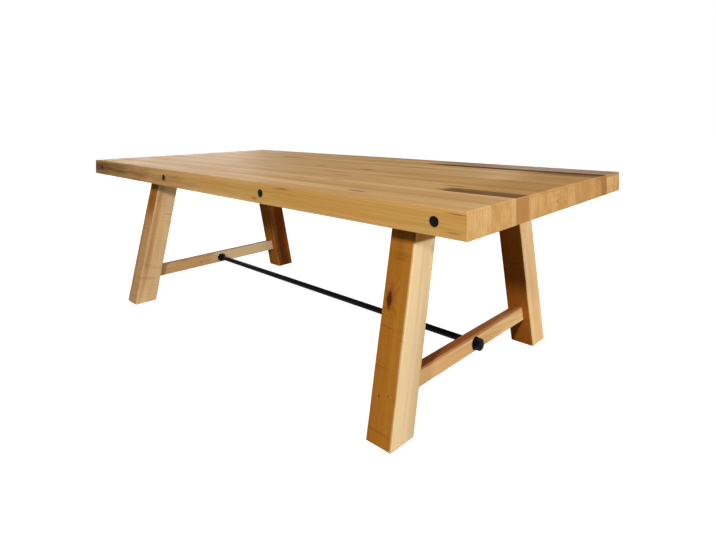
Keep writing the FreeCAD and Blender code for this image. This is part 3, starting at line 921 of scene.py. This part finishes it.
RAIL_MARKS = {
    "stretcher_left": (
        # The left stretcher's inner face is made paler towards the back and more orange towards the front.
        Mark("cream", (-855, 180, 142), (14, 260, 60), 0.75, *WHOLE_FACE),
        Mark("peach", (-855, 180, 142), (14, 260, 60), 0.4, *WHOLE_FACE),
        Mark("orange", (-855, -240, 142), (14, 240, 60), 0.35, *WHOLE_FACE),
        Mark("red", (-855, -130, 138), (8, 12, 6), 0.7),
    ),
    "stretcher_right": (
        Mark("orange", (893, -150, 142), (14, 400, 60), 0.3, 0.6, 0.3, 4.0),
        # The right stretcher's top face is made darker all over.
        Mark("russet", (874, 0, 171), (60, 460, 8), 0.68, *WHOLE_FACE),
    ),
}


def level_depth(node, lean):
    """How deep a post is, front to back, in a level cut."""
    low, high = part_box(node)
    return high.y - low.y - (high.z - low.z) * math.tan(lean)


def inner_face(side, level, lean):
    """How far the posts' inner faces stand from the middle of the table, at a height."""
    node = f"leg_front_{side}"
    return -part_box(node)[0].y - level_depth(node, lean) - level * math.tan(lean)


def rail_middle(kind, side):
    """The middle of a rail."""
    low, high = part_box(f"{kind}_{side}")
    return (low + high) / 2


def tenon_block(kind, side, ease, lean):
    """A bar with the section and the reach of a rail's tenons, larger by ease."""
    middle = rail_middle(kind, side)
    width, height, reach = (size * MM for size in TENONS[kind])
    half = Vector((width / 2 + ease, inner_face(side, middle.z, lean) + reach + ease, height / 2 + ease))
    return add_block("tenons", middle - half, middle + half)


class TABLE_OT_add_posts(bpy.types.Operator):
    """Stand the four leaning posts"""

    bl_idname = "dining_table.add_posts"
    bl_label = "Posts"

    def execute(self, context):
        for side in SIDES:
            for end in ENDS:
                stand_post(side, end, context.scene)
        return {"FINISHED"}


def stand_post(side, end, scene):
    """A square post that leans in towards the top, cut level at foot and head, with the rails' mortises."""
    sizes = scene.table_sizes
    node = f"leg_{end}_{side}"
    low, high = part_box(node)
    drift = (high.z - low.z) * math.tan(sizes.post_lean)
    depth = level_depth(node, sizes.post_lean)
    outward = ENDS[end]
    foot_low, foot_high = low.copy(), high.copy()
    if outward < 0:
        foot_high.y = low.y + depth
    else:
        foot_low.y = high.y - depth
    post = add_block(f"post_{end}_{side}", foot_low, foot_high)
    edit("VERT")
    slide_verts(lambda vert: vert.co.z > foot_high.z - MM, -outward * drift)
    cut_along(2, POST_CUTS)
    cut_along(0, FACE_CUTS)
    cut_along(1, FACE_CUTS)
    weigh_edges(lambda edge: (edge.verts[0].co + edge.verts[1].co).z / 2 < foot_high.z - MM, 1.0)
    end_edit()
    round_edges(post, sizes.post_round)
    middle = (low + high) / 2
    turn = Euler((outward * sizes.post_lean, 0, 0))
    half = Vector(((high.x - low.x) / 2, depth * math.cos(sizes.post_lean) / 2, high.z))
    back = turn.to_matrix().inverted()
    age(post, lambda point: 1 - edge_distance(back @ (point - middle), -half, half) / WORN_REACH, sizes)
    for kind in TENONS:
        combine(post, tenon_block(kind, side, sizes.fit, sizes.post_lean), "DIFFERENCE")
    form = Form(middle, turn, half)
    finish(post, post_material(node, end, side, form, scene), "frame_wood", node)


def post_material(node, end, side, form, scene):
    """Wood for one post: pale sapwood on its right face and darker heart elsewhere, partly real heartwood and
    partly painted shade on the faces that get less light, with saw marks on three faces.
    """
    colours = scene.table_colours
    draw = random.Random(node)
    trunk = Vector((-0.5, draw.uniform(-0.03, 0.03), 0))
    pith = form.middle + form.turn.to_matrix() @ trunk
    sawn = (-BACK, BACK, RIGHT * -SIDES[side])
    timber = Timber(
        tuple(colours.frame_pale), tuple(colours.frame_heart), pith, form.turn, draw.uniform(4, 6) * MM,
        form.half.x - trunk.x - SAPWOOD, figure=0.35, wear=0.1, saw=0.8, sawn_faces=sawn,
    )
    marks = POST_MARKS.get(f"{end}_{side}", ())
    return timber_material(f"{node}_wood", timber, form, marks, colours)


class TABLE_OT_add_rails(bpy.types.Operator):
    """Fit the lower and upper cross rails"""

    bl_idname = "dining_table.add_rails"
    bl_label = "Cross rails"

    def execute(self, context):
        for side in SIDES:
            for kind, name in (("stretcher", "low_rail"), ("bearer", "top_rail")):
                fit_rail(kind, side, f"{name}_{side}", context.scene)
        return {"FINISHED"}


def fit_rail(kind, side, name, scene):
    """A cross rail with slanted shoulders against the posts, a tenon at each end and holes for its steel."""
    sizes = scene.table_sizes
    node = f"{kind}_{side}"
    low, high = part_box(node)
    low.y, high.y = (sign * inner_face(side, low.z, sizes.post_lean) for sign in (-1, 1))
    rail = add_block(name, low, high)
    drift = (high.z - low.z) * math.tan(sizes.post_lean)
    edit("VERT")
    for sign in ENDS.values():
        slide_verts(lambda vert: vert.co.z > high.z - MM and vert.co.y * sign > 0, -sign * drift)
    cut_along(1, RAIL_CUTS)
    cut_along(0, RAIL_FACE_CUTS)
    cut_along(2, RAIL_FACE_CUTS)
    weigh_edges(runs_along(1), 1.0)
    end_edit()
    round_edges(rail, sizes.rail_round)
    age(rail, lambda point: 1 - edge_distance(point, low, high) / RAIL_WORN_REACH, sizes)
    combine(rail, tenon_block(kind, side, 0.0, sizes.post_lean), "UNION")
    if kind == "stretcher":
        bore_rail(rail, rail_middle(kind, side), sizes)
    else:
        slot_rail(rail, side, sizes)
    form = Form((low + high) / 2, Euler(), (high - low) / 2)
    finish(rail, rail_material(node, form, scene), "frame_wood", node)


def bore_rail(rail, middle, sizes):
    """The hole for the long rod."""
    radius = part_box("tie_rod")[1].z - middle.z + sizes.fit
    bore = add_bar("bore", middle - RIGHT * BORE_REACH, RIGHT, 2 * BORE_REACH, radius)
    combine(rail, bore, "DIFFERENCE")


def slot_rail(rail, side, sizes):
    """The holes for the coach screws, long enough across for the top to swell."""
    for place in screw_places(side):
        travel = 0 if abs(place.y) < MM else SCREW_TRAVEL
        radius = SCREW_RADIUS + SCREW_ROOM
        cutter = add_bar("slot", place - UP * SLOT_START, UP, SLOT_REACH, radius)
        take_up(cutter)
        edit("VERT")
        for sign in ENDS.values():
            slide_verts(lambda vert: (vert.co.y - place.y) * sign > MM, sign * travel / 2)
        end_edit()
        combine(rail, cutter, "DIFFERENCE")


def rail_material(node, form, scene):
    """Wood for one rail: pale sapwood on its right face and darker heart elsewhere, partly real heartwood and
    partly painted shade on the faces that get less light.
    """
    colours = scene.table_colours
    draw = random.Random(node)
    trunk = Vector((-0.4, 0, draw.uniform(-0.01, 0.01)))
    pith = form.middle + trunk
    timber = Timber(
        tuple(colours.frame_pale), tuple(colours.frame_heart), pith, GRAIN_ALONG_Y, draw.uniform(3, 5) * MM,
        form.half.x - trunk.x - SAPWOOD, figure=0.25, wear=0.1,
    )
    return timber_material(f"{node}_wood", timber, form, RAIL_MARKS.get(node, ()), colours)


# The steel fittings

CLAMP_COUNT = 4
CLAMP_SHANK = 8.0 * MM
CLAMP_RIM = 1.0 * MM
CLAMP_TIP_GAP = 4.0 * MM
SLEEVE_RADIUS = 11.0 * MM
SLEEVE_LENGTH = 30.0 * MM
NUT_FLATS = 38.0 * MM
NUT_CHAMFER = 2.5 * MM
CAP_HEX = 21.0 * MM
CAP_BORE = 17.0 * MM
SCREW_COUNT = 3
SCREW_RADIUS = 5.0 * MM
SCREW_ROOM = 0.7 * MM
SCREW_TRAVEL = 8.0 * MM
SCREW_FLATS = 17.0 * MM
SCREW_HEAD = 7.0 * MM
SCREW_CHAMFER = 1.2 * MM
SCREW_POINT = 8.0 * MM


class TABLE_OT_add_clamps(bpy.types.Operator):
    """Fit the long bolts that clamp the boards, and their sleeve nuts"""

    bl_idname = "dining_table.add_clamps"
    bl_label = "Clamping bolts"

    def execute(self, context):
        scene = context.scene
        sizes = scene.table_sizes
        low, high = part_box("clamp_bolts")
        radius = (high.z - low.z) / 2
        first = Vector((low.x + radius, SLAB_LOW.y, (low.z + high.z) / 2))
        opposite = Vector((first.x, SLAB_HIGH.y, first.z))
        rise = SLAB_LOW.y - low.y
        step = Vector(((high.x - low.x - 2 * radius) / (CLAMP_COUNT - 1), 0, 0))
        across = opposite.y - first.y
        ease = sizes.metal_ease
        head = [*dome(CLAMP_RIM, rise, radius)[::-1], (0, radius)]

        tip = CLAMP_TIP_GAP - across
        shank = [(0, CLAMP_SHANK), (tip + ease, CLAMP_SHANK), (tip, CLAMP_SHANK - ease), (tip, 0)]
        bolt = turn_piece("clamp_bolt_1", head + shank, first, -BACK)
        bore = CLAMP_SHANK + sizes.fit / 3
        sleeve = [
            (0, SLEEVE_RADIUS), (ease - SLEEVE_LENGTH, SLEEVE_RADIUS), (-SLEEVE_LENGTH, SLEEVE_RADIUS - ease),
            (-SLEEVE_LENGTH, bore), (0, bore), (0, 0),
        ]
        nut = turn_piece("sleeve_nut_1", head + sleeve, opposite, BACK)
        for piece, node in ((bolt, "clamp_bolts"), (nut, "clamp_nuts")):
            stem = piece.name[:-1]
            row = [piece] + [move_copy(piece, f"{stem}{n + 1}", step * n) for n in range(1, CLAMP_COUNT)]
            for each in row:
                finish(each, black_steel(scene), "black_steel", node)
        return {"FINISHED"}


def left_end(node):
    """The middle of a node's left end."""
    low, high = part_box(node)
    return Vector((low.x, (low.y + high.y) / 2, (low.z + high.z) / 2))


def washer(name, place, axis, outer, inner, thickness, ease):
    """A flat washer with eased rims."""
    return turn_piece(name, chamfered(thickness, outer, inner, ease, ease), place, axis, closed=True)


def mill_flats(blank, place, axis, flats, reach):
    """Cuts six flats on a turned blank."""
    hexagon = add_bar("hexagon", place, axis, reach, flats / math.sqrt(3), sides=6)
    combine(blank, hexagon, "INTERSECT")


class TABLE_OT_add_rod(bpy.types.Operator):
    """Fit the long rod between the trestles with its washers and nuts"""

    bl_idname = "dining_table.add_rod"
    bl_label = "Rod and nuts"

    def execute(self, context):
        scene = context.scene
        sizes = scene.table_sizes
        low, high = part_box("tie_rod")
        radius = (high.z - low.z) / 2
        start = left_end("tie_rod")
        span = high.x - low.x
        ease = 2 * sizes.metal_ease
        rod = turn_piece("rod", chamfered(span, radius, 0, ease, ease), start, RIGHT)
        finish(rod, black_steel(scene), "black_steel", "tie_rod")

        seat_low, seat_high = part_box("tie_rod_washers")
        reach = seat_high.x
        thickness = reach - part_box("stretcher_right")[1].x
        for side, sign in SIDES.items():
            out = RIGHT * sign
            seat = Vector((sign * (reach - thickness), start.y, start.z))
            ring = washer(
                f"rod_washer_{side}", seat, out, (seat_high.z - seat_low.z) / 2, radius + sizes.fit,
                thickness, sizes.metal_ease,
            )
            finish(ring, black_steel(scene), "black_steel", "tie_rod_washers")
            nut = cap_nut(f"cap_nut_{side}", seat + out * thickness, out, radius + sizes.fit / 3)
            finish(nut, black_steel(scene), "black_steel", "tie_rod_cap_nuts")
        nut = lock_nut(radius + sizes.fit / 3)
        finish(nut, black_steel(scene), "black_steel", "tie_rod_lock_nut")
        return {"FINISHED"}


def cap_nut(name, seat, out, bore):
    """A low domed nut: a turned and bored blank with six flats."""
    corner = NUT_FLATS / math.sqrt(3)
    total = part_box("tie_rod_cap_nuts")[1].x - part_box("tie_rod_washers")[1].x
    rim = NUT_FLATS / 2 - NUT_CHAMFER / 2
    outline = [
        (CAP_BORE, 0), (CAP_BORE, bore), (0, bore), (0, corner - NUT_CHAMFER / 2), (NUT_CHAMFER / 4, corner),
        (CAP_HEX - NUT_CHAMFER / 2, corner), (CAP_HEX, corner - NUT_CHAMFER), *dome(CAP_HEX, total, rim),
    ]
    blank = turn_piece(name, outline, seat, out)
    mill_flats(blank, seat - out * MM, out, NUT_FLATS, total + 2 * MM)
    return blank


def lock_nut(bore):
    """The hexagon nut on the inner face of the left rail, chamfered at both ends."""
    low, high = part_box("tie_rod_lock_nut")
    corner = NUT_FLATS / math.sqrt(3)
    seat = left_end("tie_rod_lock_nut")
    thick = high.x - low.x
    outline = chamfered(thick, corner, bore, NUT_CHAMFER / 2, NUT_CHAMFER)
    blank = turn_piece("lock_nut", outline, seat, RIGHT, closed=True)
    mill_flats(blank, seat - RIGHT * MM, RIGHT, NUT_FLATS, thick + 2 * MM)
    return blank


def screw_places(side):
    """Where the coach screws' heads meet their washers, from front to back."""
    low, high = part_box(f"screw_washers_{side}")
    radius = (high.x - low.x) / 2
    middle = (low.x + high.x) / 2
    step = (high.y - low.y - 2 * radius) / (SCREW_COUNT - 1)
    return [Vector((middle, low.y + radius + step * n, low.z)) for n in range(SCREW_COUNT)]


class TABLE_OT_add_screws(bpy.types.Operator):
    """Fit the coach screws and washers under the upper rails"""

    bl_idname = "dining_table.add_screws"
    bl_label = "Coach screws"

    def execute(self, context):
        scene = context.scene
        sizes = scene.table_sizes
        places = [(side, n, place) for side in SIDES for n, place in enumerate(screw_places(side), start=1)]
        first = places[0][2]
        low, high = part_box("screw_washers_left")
        screw = coach_screw("coach_screw_left_1", first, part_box("top_screws_left")[1].z - low.z)
        ring = washer(
            "screw_washer_left_1", first, UP, (high.x - low.x) / 2, SCREW_RADIUS + sizes.fit, high.z - low.z,
            sizes.metal_ease / 2,
        )
        pairs = [(screw, ring)]
        for side, n, place in places[1:]:
            screw_copy = move_copy(screw, f"coach_screw_{side}_{n}", place - first)
            pairs.append((screw_copy, move_copy(ring, f"screw_washer_{side}_{n}", place - first)))
        for (side, n, place), pair in zip(places, pairs):
            for piece, node in zip(pair, ("top_screws", "screw_washers")):
                finish(piece, zinc(scene), "screw_steel", f"{node}_{side}")
        return {"FINISHED"}


def coach_screw(name, place, tip):
    """A screw with a chamfered hexagon head below its seat and a pointed shank above it."""
    corner = SCREW_FLATS / math.sqrt(3)
    head_outline = [
        (0, 0), (0, corner), (SCREW_CHAMFER - SCREW_HEAD, corner), (-SCREW_HEAD, corner - SCREW_CHAMFER),
        (-SCREW_HEAD, 0),
    ]
    head = turn_piece(name, head_outline, place, UP)
    mill_flats(head, place - UP * (SCREW_HEAD + MM), UP, SCREW_FLATS, SCREW_HEAD + 2 * MM)
    shank_outline = [
        (-MM, 0), (-MM, SCREW_RADIUS), (tip - SCREW_POINT, SCREW_RADIUS), (tip, MM), (tip, 0),
    ]
    combine(head, turn_piece("shank", shank_outline, place, UP, steps=32), "UNION")
    return head


# Floor, light and camera

FLOOR_REACH = 60.0
CAMERA_PLACE = Vector((1.8696, -1.6508, 0.9755))
CAMERA_TURN = math.radians(43.51)
CAMERA_ROLL = math.radians(-0.43)
PHOTO_WIDTH = 716
PHOTO_HEIGHT = 540
FOCAL_LENGTH_PX = 505.52
HORIZON_ROW = 118.63


class Lamp(NamedTuple):
    """A square soft lamp."""

    place: tuple
    size: float
    power: float


LAMPS = {
    "front": Lamp((2.0, -4.0, 2.25), size=0.3, power=128.0),
    "right": Lamp((7.0, 1.0, 2.4), size=0.3, power=130.0),
    "low_right": Lamp((8.0, 0.3, 0.8), size=0.8, power=190.0),
    "left": Lamp((-7.5, 3.2, 2.0), size=3.0, power=270.0),
    "back": Lamp((-1.5, 6.0, 0.6), size=1.5, power=130.0),
}
LAMP_TARGET = Vector((0.0, 0.0, 0.5))
SKY_LIGHT = 0.62
SKY_SPREAD = math.radians(70)
WORLD_LIGHT = 0.12
FLOOR_GLOW = 0.9
FLOOR_SHADE = 0.4


class TABLE_OT_add_stage(bpy.types.Operator):
    """Add the pale floor, the soft lamps and the camera"""

    bl_idname = "dining_table.add_stage"
    bl_label = "Stage"

    def execute(self, context):
        lay_floor(context.scene)
        light_world(context.scene)
        for name, lamp in LAMPS.items():
            hang_lamp(name, lamp)
        hang_sky()
        set_camera(context.scene)
        return {"FINISHED"}


def seen_ray(bench):
    """1 for a ray that shows the background: from the camera, or by way of gloss or glass."""
    path = bench.node("LightPath").outputs
    seen = bench.math("MAXIMUM", path["Is Camera Ray"], path["Is Glossy Ray"])
    return bench.math("MAXIMUM", seen, path["Is Transmission Ray"])


def lay_floor(scene):
    """A plain pale floor, white to the camera but for the table's shadow."""
    bpy.ops.object.select_all(action="DESELECT")
    bpy.ops.mesh.primitive_plane_add(size=FLOOR_REACH)
    floor = take_primitive("floor")
    material = bpy.data.materials.new("pale_floor")
    bench = empty_bench(material)
    plain = bench.node("BsdfDiffuse", (*scene.table_colours.floor, 1.0)).outputs[0]
    dim = bench.node("BsdfDiffuse", (FLOOR_SHADE, FLOOR_SHADE, FLOOR_SHADE, 1.0)).outputs[0]
    glow = bench.node("Emission", WHITE, FLOOR_GLOW).outputs[0]
    shown = bench.node("AddShader", dim, glow).outputs[0]
    floor_shader = bench.node("MixShader", seen_ray(bench), plain, shown).outputs[0]
    bench.node("OutputMaterial", floor_shader)
    floor.data.materials.append(material)


def light_world(scene):
    """Soft light from all round, which the camera sees as white."""
    scene.world = bpy.data.worlds.new("studio")
    bench = empty_bench(scene.world)
    soft = bench.node("Background", WHITE, WORLD_LIGHT).outputs[0]
    white = bench.node("Background", WHITE, 1.0).outputs[0]
    bench.node("OutputWorld", bench.node("MixShader", seen_ray(bench), soft, white).outputs[0])
    scene.view_settings.view_transform = "Standard"


def hang_lamp(name, lamp):
    """Hangs a square lamp that faces the table."""
    bpy.ops.object.light_add(type="AREA", location=lamp.place)
    light = bpy.context.object
    light.name = light.data.name = f"lamp_{name}"
    way = LAMP_TARGET - Vector(lamp.place)
    light.rotation_euler = way.to_track_quat("-Z", "Y").to_euler()
    light.data.size = lamp.size
    light.data.energy = lamp.power


def hang_sky():
    """A very soft even light from above."""
    bpy.ops.object.light_add(type="SUN", location=(0, 0, 5))
    sky = bpy.context.object
    sky.name = sky.data.name = "lamp_sky"
    sky.data.energy = SKY_LIGHT
    sky.data.angle = SKY_SPREAD


def set_camera(scene):
    """The photo's camera: level, with its frame shifted down."""
    bpy.ops.object.camera_add(location=CAMERA_PLACE)
    camera = bpy.context.object
    ahead = Euler((math.radians(90), 0, CAMERA_TURN)).to_matrix()
    camera.rotation_euler = (ahead @ Matrix.Rotation(CAMERA_ROLL, 3, "Z")).to_euler()
    camera.data.lens = FOCAL_LENGTH_PX / PHOTO_WIDTH * camera.data.sensor_width
    camera.data.shift_y = (HORIZON_ROW - PHOTO_HEIGHT / 2) / PHOTO_WIDTH
    scene.camera = camera


# The add-on

STEPS = (
    TABLE_OT_add_boards, TABLE_OT_add_posts, TABLE_OT_add_rails, TABLE_OT_add_clamps, TABLE_OT_add_rod,
    TABLE_OT_add_screws, TABLE_OT_add_stage,
)


class TABLE_PT_steps(bpy.types.Panel):
    """Lists the steps that build the table"""

    bl_label = "Dining table"
    bl_idname = "TABLE_PT_steps"
    bl_space_type = "VIEW_3D"
    bl_region_type = "UI"
    bl_category = "Table"

    def draw(self, context):
        for step in STEPS:
            self.layout.operator(step.bl_idname)
        for settings in (context.scene.table_sizes, context.scene.table_colours):
            for name in settings.__annotations__:
                self.layout.prop(settings, name)


CLASSES = (TableColours, TableSizes, *STEPS, TABLE_PT_steps)


def register():
    for item in CLASSES:
        bpy.utils.register_class(item)
    bpy.types.Scene.table_colours = bpy.props.PointerProperty(type=TableColours)
    bpy.types.Scene.table_sizes = bpy.props.PointerProperty(type=TableSizes)


def unregister():
    del bpy.types.Scene.table_sizes
    del bpy.types.Scene.table_colours
    for item in reversed(CLASSES):
        bpy.utils.unregister_class(item)


def main():
    """Builds the table step by step."""
    register()
    for step in STEPS:
        group, name = step.bl_idname.split(".")
        getattr(getattr(bpy.ops, group), name)()


if __name__ == "__main__":
    main()
